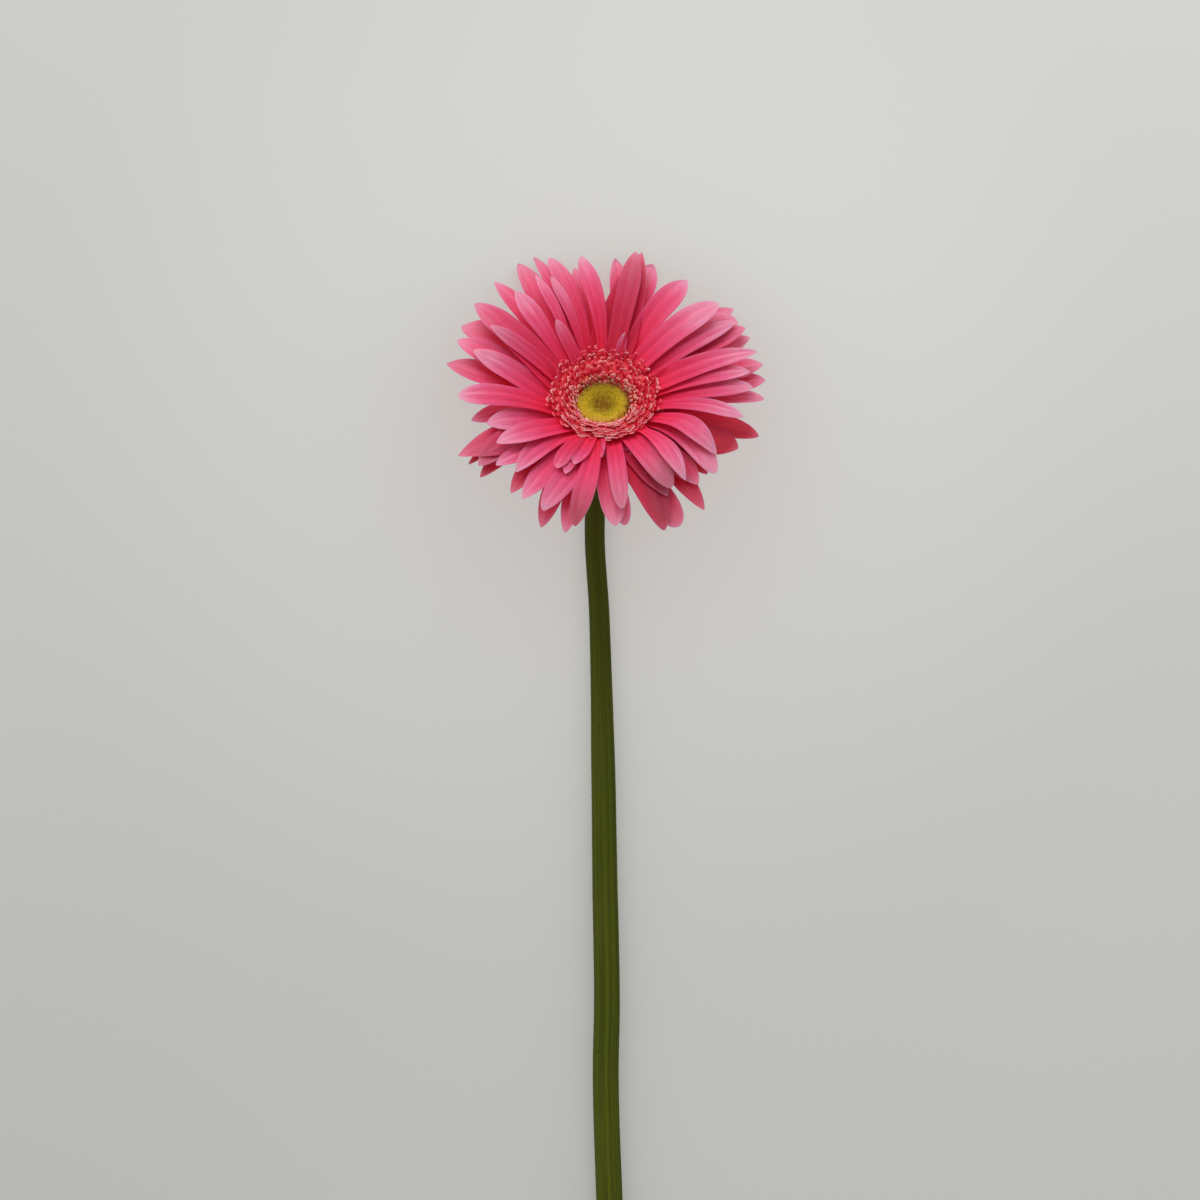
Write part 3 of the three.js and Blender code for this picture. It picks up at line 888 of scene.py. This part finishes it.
def floretRing(name, sizes, hook, material):
    # florets on the sunflower spiral between two radii, each leaning out from its place on the bed
    growth = Growth(name, sizes, "count first spacing scatter uphill broader seed")
    number = growth.index() + growth.size("first")
    turn = number * goldenTurn + growth.chance(-0.05, 0.05, 1)
    tipRadius = number.root() * growth.size("spacing") + growth.chance(-1.0, 1.0, 2) * growth.size("scatter")
    share = ((tipRadius - crater["from"]) / crater["across"]).atLeast(0.0).atMost(1.0)
    level = growth.curve(share, sizes["levels"]) * crater["levelUnit"]
    level = level + growth.chance(-0.45 * mm, 0.35 * mm, 3)
    east, north = turn.cosine(), turn.sine()
    uphillReach = north.atLeast(0.0) * share * growth.size("uphill")
    dots = growth.dots(growth.vector(tipRadius * east, tipRadius * north + uphillReach, level), {
        "tone": growth.chance(0.0, 1.0, 4), "north": north,
    })
    lean = (growth.curve(share, sizes["leans"]) - 0.5) * 2.0 + growth.chance(-0.14, 0.14, 5)
    sideLean = growth.chance(-0.2, 0.2, 6)
    tube = growth.vector(east * lean - north * sideLean, north * lean + east * sideLean, 1.0)
    facing = growth.node("FunctionNodeAxesToRotation", {"primary_axis": "Z", "secondary_axis": "X"}, {
        "Primary Axis": tube, "Secondary Axis": growth.vector(east, north, 0.0),
    })["Rotation"]
    floret = growth.sweep(growth.lines(), 4, growth.field("thick"))
    size = growth.chance(0.6, 1.25, 7)
    broad = size * (1.0 + (-north).atLeast(0.0) * growth.size("broader"))
    florets = growth.plant(dots, floret, facing, growth.vector(size, broad, size))
    growth.finish(florets, material)
    return growth.grow(name, hook, headPlace)


def hookMesh(name, strands):
    # one floret, its tip at the origin: each strand's points are (outward, sideways, up, thickness,
    # ripeness), in mm
    runs = [np.array([point[:3] for point in strand]) * mm for strand in strands]
    thick = [np.array([point[3] for point in strand]) * mm for strand in strands]
    along = [np.array([point[4] for point in strand]) for strand in strands]
    return lineMesh(name, runs, {"thick": thick, "along": along})


outerFlorets = {
    "count": 380,
    "first": 150,  # where on the spiral they start
    "spacing": 0.765 * mm,
    "scatter": 0.8 * mm,
    "uphill": 2.2 * mm,  # how much further the ring reaches on its upper side
    "broader": 0.7,  # lips on the lower side
    "levels": [(0.0, 0.52), (0.23, 0.72), (0.6, 0.88), (1.0, 0.93)],  # tips over the head's centre
    "leans": [(0.0, 0.42), (0.2, 0.5), (0.6, 0.78), (1.0, 1.0)],  # 0.5 is upright
    "seed": 21,
}

skin = Skin("floretSkin", {
    "Roughness": 0.36, "Specular IOR Level": 0.45,
    "Subsurface Weight": 0.4, "Subsurface Radius": (1.0, 0.25, 0.25), "Subsurface Scale": 0.9 * mm,
})
along, tone, north = skin.field("along"), skin.field("tone"), skin.field("north")
flush = skin.ramp(along + (tone - 0.65) * 0.4, [
    (0.0, (196, 16, 30)), (0.45, (228, 24, 52)), (0.72, (230, 44, 72)),
    (0.86, (234, 92, 110)), (1.0, (246, 164, 166)),
])
# painted highlight: tips on the lower side of the ring, where the light falls on them, are whitened
lowerTipHighlight = (-north).between(0.5, 1.0) * (along + tone * 0.2).between(0.9, 1.1)
flush = skin.blend(lowerTipHighlight * 0.4, flush, (255, 188, 188))
floretPaint = skin.cover(flush)

outerHook = hookMesh("outerHook", [
    [(-0.1, 0, -6, 0.3, 0), (0, 0, -3, 0.34, 0.2), (0, 0, -1.2, 0.36, 0.5), (0.08, 0, -0.25, 0.3, 0.66)],
    [
        (0.16, -0.66, -0.5, 0.1, 0.85), (0.3, -0.52, -0.12, 0.17, 0.98), (0.4, 0, 0.14, 0.2, 1),
        (0.3, 0.52, -0.12, 0.17, 0.98), (0.16, 0.66, -0.5, 0.1, 0.85),
    ],
    [(-0.06, 0.08, -0.6, 0.1, 0.6), (-0.2, 0.25, 0.0, 0.1, 0.8), (-0.14, 0.5, 0.14, 0.07, 0.95)],
    [(-0.06, -0.08, -0.6, 0.1, 0.6), (-0.2, -0.25, 0.0, 0.1, 0.8), (-0.14, -0.5, 0.14, 0.07, 0.95)],
])
outerPiece = floretRing("outerFlorets", outerFlorets, outerHook, floretPaint)
settle(outerPiece, ["disc_florets"])

innerFlorets = {
    "count": 150, "first": 240, "spacing": 0.53 * mm, "scatter": 0.4 * mm, "uphill": 0.0, "broader": 0.5,
    "levels": [(0.0, 0.50), (0.23, 0.69), (0.6, 0.84), (1.0, 0.9)],
    "leans": [(0.0, 0.36), (0.25, 0.46), (0.6, 0.7), (1.0, 0.9)],
    "seed": 8,
}
skin = Skin("innerFloretSkin", {
    "Roughness": 0.45, "Specular IOR Level": 0.3,
    "Subsurface Weight": 0.3, "Subsurface Radius": (1.0, 0.5, 0.3), "Subsurface Scale": 0.9 * mm,
})
along, tone, north = skin.field("along"), skin.field("tone"), skin.field("north")
cream = skin.ramp(along + (tone - 0.5) * 0.2, [
    (0.0, (190, 44, 24)), (0.45, (216, 84, 60)), (0.7, (230, 128, 108)),
    (1.0, (252, 188, 176)),
])
cream = skin.blend((tone - 0.72).atLeast(0.0) * 4.0 * along, cream, (236, 118, 18))
# painted shade: florets on the upper side, under the shaded wall of the crater, are darkened to brown
cream = skin.blend(north.between(0.3, 0.95) * (1.2 - tone) * 0.6, cream, (158, 62, 26))
creamPaint = skin.cover(cream)
innerHook = hookMesh("innerHook", [
    [(0, 0, -4, 0.2, 0), (0, 0, -1.6, 0.22, 0.3), (0, 0, -0.6, 0.26, 0.6), (0.04, 0, -0.1, 0.24, 0.8)],
    [(0.1, -0.36, -0.22, 0.1, 0.9), (0.2, -0.2, 0.02, 0.18, 1), (0.26, 0, 0.1, 0.22, 1),
     (0.2, 0.2, 0.02, 0.18, 1), (0.1, 0.36, -0.22, 0.1, 0.9)],
    [(-0.05, 0.05, -0.5, 0.1, 0.7), (-0.16, 0.16, 0.05, 0.1, 0.9), (-0.1, 0.34, 0.12, 0.06, 1)],
])
innerPiece = floretRing("innerFlorets", innerFlorets, innerHook, creamPaint)
settle(innerPiece)
print("florets:", len(outerPiece.data.polygons) + len(innerPiece.data.polygons), "faces")

bristles = {
    "count": 210, "length": 2.4 * mm, "width": 0.08 * mm, "radius": 8.1 * mm,
    "rise": 2.75 * mm,  # over the bed of buds
    "seed": 31,
}
skin = Skin("bristleSkin", {"Roughness": 0.5})
straw = skin.ramp(skin.field("tone"), [(0.0, (60, 36, 8)), (0.6, (112, 82, 14)), (1.0, (178, 150, 50))])
bristlePaint = skin.cover(straw)
growth = Growth("bristleRing", bristles, "count length width radius rise seed")
turn = growth.index() * goldenTurn
radius = growth.size("radius") + growth.chance(-0.5 * mm, 0.3 * mm, 1)
level = head["bedHeight"] + growth.size("rise") + growth.chance(-0.4 * mm, 0.9 * mm, 2)
east, north = turn.cosine(), turn.sine()
dots = growth.dots(growth.vector(east * radius, north * radius, level), {"tone": growth.chance(0.0, 1.0, 3)})
askew = growth.chance(-0.35, 0.35, 4)
inward = growth.vector(north * askew - east, -east * askew - north, growth.chance(-0.1, 0.35, 5))
onTop = growth.isOver(north + east * 0.3, growth.chance(-0.7, 0.4, 7))
grown = growth.vector(1.0, 1.0, growth.chance(0.6, 1.1, 6))
needles = growth.plant(dots, growth.spike(4), growth.facing(inward), grown, onTop)
growth.finish(needles, bristlePaint)
settle(growth.grow("bristles", nowhere, headPlace))
print("bristles grown")

cup = {  # green, with rows of bracts, under the head
    "profile": [  # radius and height in the head's frame, mm, from the neck up
        (3.3, -12.2), (3.7, -11.7), (4.6, -10.7), (6.4, -9.3), (8.4, -7.9), (10.2, -6.4), (11.8, -4.7),
        (12.9, -3.3), (13.3, -2.3), (13.0, -1.5), (11.4, 0.2), (8.96, 2.59),
    ],
    "sides": 64,
    "stations": 16,  # of each bract, from root to tip
    "flare": 1.1,  # how far their tips stand off
    "rows": [  # from, to: heights on the cup in mm; how many; width; how far it stands off
        {"name": "bractsLow", "from": -11.4, "to": -5.4, "count": 15, "width": 3.0, "off": 0.75},
        {"name": "bractsMiddle", "from": -10.4, "to": -3.2, "count": 19, "width": 3.2, "off": 0.5},
        {"name": "bractsHigh", "from": -9.2, "to": -1.9, "count": 23, "width": 3.3, "off": 0.25},
    ],
}
skin = Skin("bractSkin", {"Roughness": 0.62, "Specular IOR Level": 0.3, "Sheen Weight": 0.1})
across, along, tone = skin.field("blade", "Vector").split()
veins = skin.noise(skin.vector(across * 8.0, along * 0.9, tone * 41.0), 1.8, 3.0, 0.6)
green = skin.ramp(along + (veins - 0.5) * 0.35 + (tone - 0.5) * 0.15, [
    (0.0, (96, 112, 44)), (0.5, (82, 102, 34)), (0.85, (66, 84, 28)), (1.0, (96, 52, 34)),
])
green = skin.blend(across.absolute().between(0.72, 1.0) * 0.5, green, (150, 160, 104))
greenPaint = skin.cover(green, 0.55 + veins * 0.2, veins, 0.1 * mm)

skin = Skin("cupSkin", {"Roughness": 0.65, "Specular IOR Level": 0.2})
where = skin.place()
mottle = skin.noise(where, 420.0, 3.0)
rind = skin.blend(mottle, (70, 84, 30), (98, 112, 46))
fromCentre = skin.node("ShaderNodeVectorMath", {"operation": "DOT_PRODUCT"}, {
    0: where - tuple(headCentre), 1: tuple(axis),
})["Value"]
inside = fromCentre.between(-1.6 * mm, -0.4 * mm)  # the cup is red within, where petals leave gaps
cupPaint = skin.cover(skin.blend(inside, rind, (204, 20, 46)), None, mottle, 0.15 * mm)

settle(turnedPiece("flowerCup", cup["profile"], cup["sides"], cupPaint), ["receptacle_and_bracts"])

bractOutline = [(0.0, 0.8), (0.2, 0.98), (0.4, 1.0), (0.6, 0.88), (0.8, 0.62), (1.0, 0.34)]
bractSizes = {
    "sides": 14, "thickness": 0.5 * mm, "ribs": 1.0, "ribDepth": 0.12 * mm, "cup": -0.35, "ruffle": 0.3 * mm,
    "seed": 4,
}
bractGrowth = bladeGrowth("bractBlade", bractSizes, bractOutline, greenPaint)
cupRadii, cupHeights = zip(*cup["profile"][:9])
for row in cup["rows"]:
    blades = []
    for number in range(row["count"]):
        turn = 2 * math.pi * (number + chance.uniform(-0.12, 0.12)) / row["count"]
        along = np.linspace(0, 1, cup["stations"])
        heights = row["from"] + (row["to"] + chance.uniform(-0.5, 0.5) - row["from"]) * along
        flare = cup["flare"] * np.maximum(0, along - 0.8) / 0.2
        radii = np.interp(heights, cupHeights, cupRadii) + row["off"] + flare
        out = np.array([math.cos(turn), math.sin(turn), 0])
        line = (out * radii[:, None] + np.array([0, 0, 1]) * heights[:, None]) * mm
        heading = np.gradient(line, axis=0)
        heading /= np.linalg.norm(heading, axis=1, keepdims=True)
        around = np.repeat([[math.sin(turn), -math.cos(turn), 0]], len(line), axis=0)
        ones = np.ones(len(line))
        blades.append({
            "centre": line, "side": around, "up": np.cross(heading, around), "along": along,
            "reach": ones * row["width"] / 2 * mm, "tone": ones * chance.random(), "blunt": ones * 0.2,
            "cupped": ones, "hook": ones * 0,
        })
    settle(bractGrowth.grow(row["name"], bladeLines(row["name"], blades), headPlace))
print("cup and bracts grown")

stem = {
    "sides": 40,
    "stations": 170,
    "ribs": 9.0,
    "ribDepth": 0.07 * mm,
    "lumps": 0.28 * mm,  # how uneven it is along its length
    "intoCup": 0.9 * mm,  # how far its upper end runs on into the cup
    "seed": 17,
}
skin = Skin("stemSkin", {"Roughness": 0.75, "Specular IOR Level": 0.12})
east, north, along = skin.field("stemPlace", "Vector").split()
streaks = skin.noise(skin.vector(east * 3.2, north * 3.2, along * 3.0), 1.5, 4.0, 0.62)
patches = skin.noise(skin.vector(east * 0.8, north * 0.8, along * 22.0), 1.0, 3.0)
specks = skin.noise(skin.vector(east * 4.0, north * 4.0, along * 500.0), 1.0, 1.0)
green = skin.blend(streaks.between(0.3, 0.7), (56, 60, 8), (78, 88, 12))
green = skin.blend(patches.between(0.45, 0.75) * 0.35, green, (94, 92, 16))
green = skin.blend(specks.between(0.68, 0.78) * 0.5, green, (34, 34, 10))
green = skin.blend((1.0 - along.between(0.0, 0.06)) * 0.5, green, (58, 58, 20))
stemPaint = skin.cover(green, 0.65 + streaks * 0.2, streaks, 0.2 * mm)


def frameRings(name, corners):
    # the rings of a tube in the frame, from its neck to its cut end: each next ring is joined to the last
    points, places = uniquePoints(name)
    joined = {i: set() for i in range(len(points))}
    for face in nodes[name].data.polygons:
        corner = [int(places[v]) for v in face.vertices]
        for a in corner:
            joined[a].update(corner)
    ring = set(int(i) for i in np.argsort(points[:, 1])[:corners])
    seen, rings = set(), []
    while ring:
        rings.append(points[sorted(ring)])
        seen |= ring
        ring = set().union(*(joined[i] for i in ring)) - seen
    return rings[::-1]


rings = frameRings("stem", 12)
middles = np.array([ring.mean(axis=0) for ring in rings])
radii = np.array([np.linalg.norm(ring - ring.mean(axis=0), axis=1).mean() for ring in rings])
first = middles[0] + (middles[0] - middles[1]) / np.linalg.norm(middles[0] - middles[1]) * stem["intoCup"]
middles, radii = np.vstack([first, middles]), np.insert(radii, 0, radii[0])

growth = Growth("stemTube", stem, "sides stations ribs ribDepth lumps seed")
lines = growth.node("GeometryNodeCurveSplineType", {"spline_type": "CATMULL_ROM"}, {
    "Curve": growth.lines(),
})["Curve"]
lines = growth.node("GeometryNodeResampleCurve", {}, {
    "Curve": lines, "Count": growth.size("stations"),
})["Curve"]
lines = growth.store(lines, "along", growth.node("GeometryNodeSplineParameter", {}, {})["Length"])
tube = growth.sweep(lines, growth.size("sides"), growth.field("thick"))
east, north, _ = growth.field("section", "FLOAT_VECTOR").split()
along = growth.field("along")
turn = growth.node("ShaderNodeMath", {"operation": "ARCTAN2"}, {0: north, 1: east})[0]
lump = growth.noise(growth.vector(east * 0.9, north * 0.9, along * 38.0), 1.0, 2.0) - 0.5
swell = (turn * growth.size("ribs")).cosine() * growth.size("ribDepth") + lump * growth.size("lumps")
outward = growth.node("GeometryNodeInputNormal", {}, {})[0]
tube = growth.node("GeometryNodeSetPosition", {}, {"Geometry": tube, "Offset": outward * swell})["Geometry"]
tube = growth.store(tube, "stemPlace", growth.vector(east, north, along), "FLOAT_VECTOR")
growth.finish(tube, stemPaint)
stemPiece = growth.grow("stemTube", lineMesh("stemLine", [middles], {"thick": [radii]}))
settle(stemPiece, ["stem"])

hairs = {
    "density": 90000.0,  # to a square metre
    "length": 0.8 * mm,
    "width": 0.045 * mm,
    "clear": 1.6 * mm,  # none grow under this height over the table
    "seed": 17,
}
hairPaint = Skin("stemHair", {"Roughness": 0.6, "Base Color": (126, 132, 62)}).material
growth = Growth("stemHairs", hairs, "density length width clear seed")
_, _, level = growth.position().split()
sown = growth.node("GeometryNodeDistributePointsOnFaces", {}, {
    "Mesh": growth.entry["Geometry"], "Density": growth.size("density"), "Seed": growth.size("seed"),
    "Selection": growth.isOver(level, growth.size("clear")),
})
tilted = growth.node("FunctionNodeRotateRotation", {"rotation_space": "LOCAL"}, {
    "Rotation": sown["Rotation"],
    "Rotate By": growth.node("FunctionNodeEulerToRotation", {}, {
        "Euler": growth.vector(growth.chance(-0.7, 0.7, 1), growth.chance(-0.7, 0.7, 2), 0.0),
    })["Rotation"],
})["Rotation"]
grown = growth.vector(1.0, 1.0, growth.chance(0.4, 1.0, 3))
growth.finish(growth.plant(sown["Points"], growth.spike(3), tilted, grown), hairPaint)
hairPiece = settle(growth.grow("stemHairs", stemPiece.data))
print("stem grown:", len(stemPiece.data.polygons), "faces,", len(hairPiece.data.polygons) // 4, "hairs")
